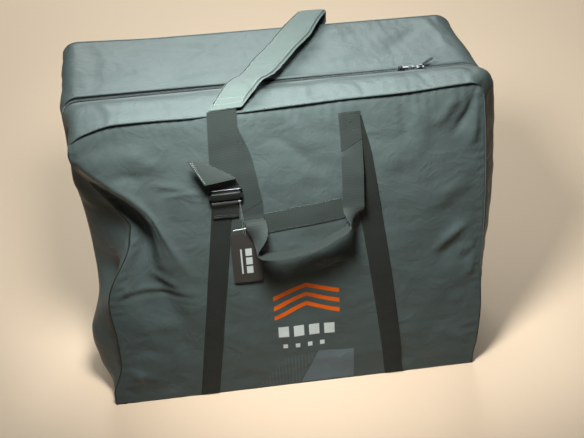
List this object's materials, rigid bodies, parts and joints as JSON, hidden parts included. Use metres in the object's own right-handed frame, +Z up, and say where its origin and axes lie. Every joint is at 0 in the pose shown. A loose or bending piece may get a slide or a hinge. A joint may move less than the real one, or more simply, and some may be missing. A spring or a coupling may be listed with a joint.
{
  "type": "soft travel bag",
  "caption": "Large soft zip-open travel bag with sewn carry straps, folding hand loops and a padded shoulder strap with ladder buckle.",
  "frame": {"origin": "centre of the bag's flat base, on the floor", "axes": "+X across the wide front from the buckle side to the zip-slider side, +Y from the front panel to the back panel, +Z up"},
  "size_m": [0.8426, 0.4505, 0.7311],
  "materials": {
    "bag_fabric": "coated woven fabric, grey-green",
    "webbing": "ribbed webbing, darker grey-green",
    "pad_fabric": "padded woven fabric, grey-green",
    "zip_tape": "fine twill tape, near black",
    "zip_coil": "moulded chain, dark grey",
    "dark_metal": "dark nickel",
    "black_plastic": "black moulded plastic",
    "tag_card": "dark card, blank",
    "tag_thread": "white thread"
  },
  "bodies": {
    "rear_shell": {"back_panel": "bag_fabric", "base_panel": "bag_fabric", "left_gusset_rear": "bag_fabric", "top_gusset_rear": "bag_fabric", "right_gusset_rear": "bag_fabric", "zip_tape_rear": "zip_tape", "zip_chain_rear": "zip_coil", "back_left_strap": "webbing", "back_right_strap": "webbing", "back_cross_strap": "webbing", "back_handle_left_end": "webbing", "back_handle_right_end": "webbing", "back_seam_binding": "zip_tape", "zip_end_patch_left": "zip_tape", "zip_end_patch_right": "zip_tape", "shoulder_anchor": "webbing"},
    "front_cover": {"front_panel": "bag_fabric", "left_gusset_front": "bag_fabric", "top_gusset_front": "bag_fabric", "right_gusset_front": "bag_fabric", "zip_tape_front": "zip_tape", "zip_chain_front": "zip_coil", "front_left_strap": "webbing", "front_right_strap": "webbing", "front_cross_strap": "webbing", "front_handle_left_end": "webbing", "front_handle_right_end": "webbing", "front_seam_binding": "zip_tape", "buckle_tab": "webbing"},
    "left_slider": {"zip_slider_left": "dark_metal"},
    "left_pull": {"zip_pull_left": "dark_metal"},
    "right_slider": {"zip_slider_right": "dark_metal"},
    "right_pull": {"zip_pull_right": "dark_metal"},
    "front_handle": {"front_handle": "webbing"},
    "back_handle": {"back_handle": "webbing"},
    "shoulder_strap": {"shoulder_pad": "pad_fabric", "shoulder_web_rear": "webbing"},
    "buckle_frame": {"buckle_frame": "dark_metal"},
    "buckle_bar": {"buckle_bar": "black_plastic", "shoulder_web_front": "webbing"},
    "hang_tag": {"hang_tag": "tag_card", "tag_cord": "tag_thread"}
  },
  "joints": [
    {"name": "cover_opens", "type": "hinge", "parent": "rear_shell", "child": "front_cover", "pos_m": [0, -0.165, 0], "axis": [0.9999, -0.0103, 0], "range_deg": [0, 85]},
    {"name": "front_handle_swings", "type": "hinge", "parent": "front_cover", "child": "front_handle", "pos_m": [0.03624, -0.1714, 0.54874], "axis": [-0.8667, -0.0213, -0.4984], "range_deg": [0, 90]},
    {"name": "back_handle_swings", "type": "hinge", "parent": "rear_shell", "child": "back_handle", "pos_m": [-0.03575, 0.1644, 0.54326], "axis": [0.872, 0, -0.4895], "range_deg": [0, 90]},
    {"name": "shoulder_strap_swings", "type": "hinge", "parent": "rear_shell", "child": "shoulder_strap", "pos_m": [0.11278, 0.1664, 0.55379], "axis": [-0.9998, 0, 0.0178], "range_deg": [0, 150]},
    {"name": "buckle_swings", "type": "hinge", "parent": "front_cover", "child": "buckle_frame", "pos_m": [-0.11, -0.1783, 0.51521], "axis": [0.9999, -0.0128, 0.003], "range_deg": [0, 100]},
    {"name": "bar_slides", "type": "slide", "parent": "buckle_frame", "child": "buckle_bar", "axis": [0, 0.0358, 0.9994], "range_m": [-0.003, 0]},
    {"name": "tag_swings", "type": "hinge", "parent": "front_cover", "child": "hang_tag", "pos_m": [-0.0858, -0.17855, 0.51533], "axis": [0, 1, 0.0058], "range_deg": [0, 5]},
    {"name": "left_slider_runs", "type": "slide", "parent": "rear_shell", "child": "left_slider", "axis": [0.9999, 0, -0.0167], "range_m": [-0.575, 0.002]},
    {"name": "left_pull_flips", "type": "hinge", "parent": "left_slider", "child": "left_pull", "pos_m": [0.2512, -0.042, 0.68751], "axis": [0, -0.9984, 0.0563], "range_deg": [0, 74]},
    {"name": "right_slider_runs", "type": "slide", "parent": "rear_shell", "child": "right_slider", "axis": [0.9999, 0, -0.0159], "range_m": [0, 0.045]},
    {"name": "right_pull_flips", "type": "hinge", "parent": "right_slider", "child": "right_pull", "pos_m": [0.2908, -0.042, 0.68687], "axis": [0, -0.9983, 0.0587], "range_deg": [-33, 68]}
  ]
}
